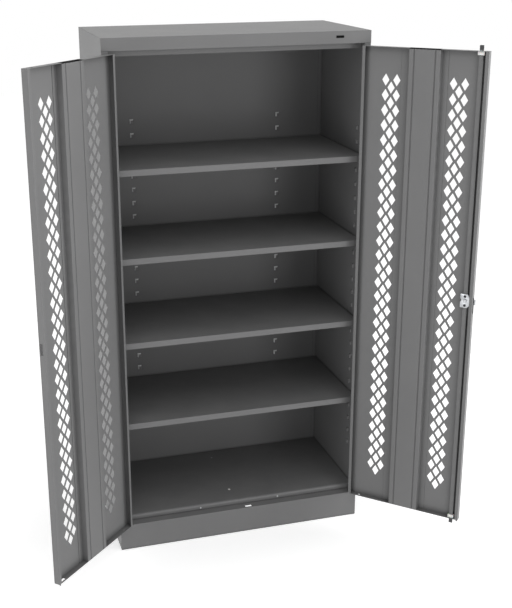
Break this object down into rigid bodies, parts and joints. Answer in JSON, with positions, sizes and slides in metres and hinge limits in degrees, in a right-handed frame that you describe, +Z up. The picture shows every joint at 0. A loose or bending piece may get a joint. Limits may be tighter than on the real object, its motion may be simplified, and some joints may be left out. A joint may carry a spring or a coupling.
{
  "type": "storage cabinet",
  "caption": "Tall sheet steel storage cabinet with perforated double doors, adjustable shelves and a lever handle that works a latch with rods up and down.",
  "frame": {"origin": "on the floor, at the middle of the width, in the plane of the body's front", "axes": "+X to the right of someone facing the front, +Y to the back, +Z up"},
  "size_m": [1.4886, 0.7822, 1.8288],
  "materials": {
    "painted_steel": "medium grey powder coat with a fine satin texture",
    "zinc_steel": "bright zinc plated steel",
    "nylon": "natural white nylon",
    "plated_handle": "satin chrome plated casting"
  },
  "bodies": {
    "body": {"back_panel": "painted_steel", "bottom_shelf": "painted_steel", "hinge_frame_leaf_left": "painted_steel", "hinge_frame_leaf_right": "painted_steel", "hinge_pin_left": "zinc_steel", "hinge_pin_right": "zinc_steel", "kick_plate": "painted_steel", "shelf_1": "painted_steel", "shelf_2": "painted_steel", "shelf_3": "painted_steel", "shelf_4": "painted_steel", "shelf_clip_1_back_left": "zinc_steel", "shelf_clip_1_back_right": "zinc_steel", "shelf_clip_1_left": "zinc_steel", "shelf_clip_1_right": "zinc_steel", "shelf_clip_2_back_left": "zinc_steel", "shelf_clip_2_back_right": "zinc_steel", "shelf_clip_2_left": "zinc_steel", "shelf_clip_2_right": "zinc_steel", "shelf_clip_3_back_left": "zinc_steel", "shelf_clip_3_back_right": "zinc_steel", "shelf_clip_3_left": "zinc_steel", "shelf_clip_3_right": "zinc_steel", "shelf_clip_4_back_left": "zinc_steel", "shelf_clip_4_back_right": "zinc_steel", "shelf_clip_4_left": "zinc_steel", "shelf_clip_4_right": "zinc_steel", "side_panel_left": "painted_steel", "side_panel_right": "painted_steel", "top_panel": "painted_steel"},
    "left_door": {"door_pan_left": "painted_steel", "door_stiffener_left": "painted_steel", "hinge_door_leaf_left": "painted_steel"},
    "right_door": {"door_pan_right": "painted_steel", "door_stiffener_right": "painted_steel", "hinge_door_leaf_right": "painted_steel", "upper_rod_guide": "nylon", "lower_rod_guide": "nylon", "handle_escutcheon": "plated_handle"},
    "latch": {"door_handle": "plated_handle", "spindle": "zinc_steel", "latch_tongue": "zinc_steel", "latch_cam": "zinc_steel", "spindle_nut": "zinc_steel", "upper_rod_pin": "zinc_steel", "lower_rod_pin": "zinc_steel"},
    "lock": {"lock_plug": "zinc_steel"},
    "rod_up": {"upper_rod": "painted_steel"},
    "rod_down": {"lower_rod": "painted_steel"}
  },
  "joints": [
    {"name": "left_door_hinge", "type": "hinge", "parent": "body", "child": "left_door", "pos_m": [-0.4335, -0.0023, 0.944], "axis": [0, 0, -1], "range_deg": [-135, 40]},
    {"name": "right_door_hinge", "type": "hinge", "parent": "body", "child": "right_door", "pos_m": [0.4335, -0.0023, 0.944], "axis": [0, 0, 1], "range_deg": [-135, 40]},
    {"name": "handle_turn", "type": "hinge", "parent": "right_door", "child": "latch", "pos_m": [0.70906, -0.29808, 0.9447], "axis": [0.7071, 0.7071, 0], "range_deg": [0, 90]},
    {"name": "lock_turn", "type": "hinge", "parent": "latch", "child": "lock", "pos_m": [0.70906, -0.29808, 0.9447], "axis": [0.7071, 0.7071, 0], "range_deg": [0, 90]},
    {"name": "upper_rod_pivot", "type": "hinge", "parent": "latch", "child": "rod_up", "pos_m": [0.70906, -0.29808, 0.961], "axis": [0.7071, 0.7071, 0], "range_deg": [-91.5, 0]},
    {"name": "lower_rod_pivot", "type": "hinge", "parent": "latch", "child": "rod_down", "pos_m": [0.70906, -0.29808, 0.9284], "axis": [0.7071, 0.7071, 0], "range_deg": [-91.5, 0]}
  ],
  "couplings": [
    {"joint": "upper_rod_pivot", "follows": "handle_turn", "ratio": -1.0142},
    {"joint": "lower_rod_pivot", "follows": "handle_turn", "ratio": -1.0142}
  ]
}
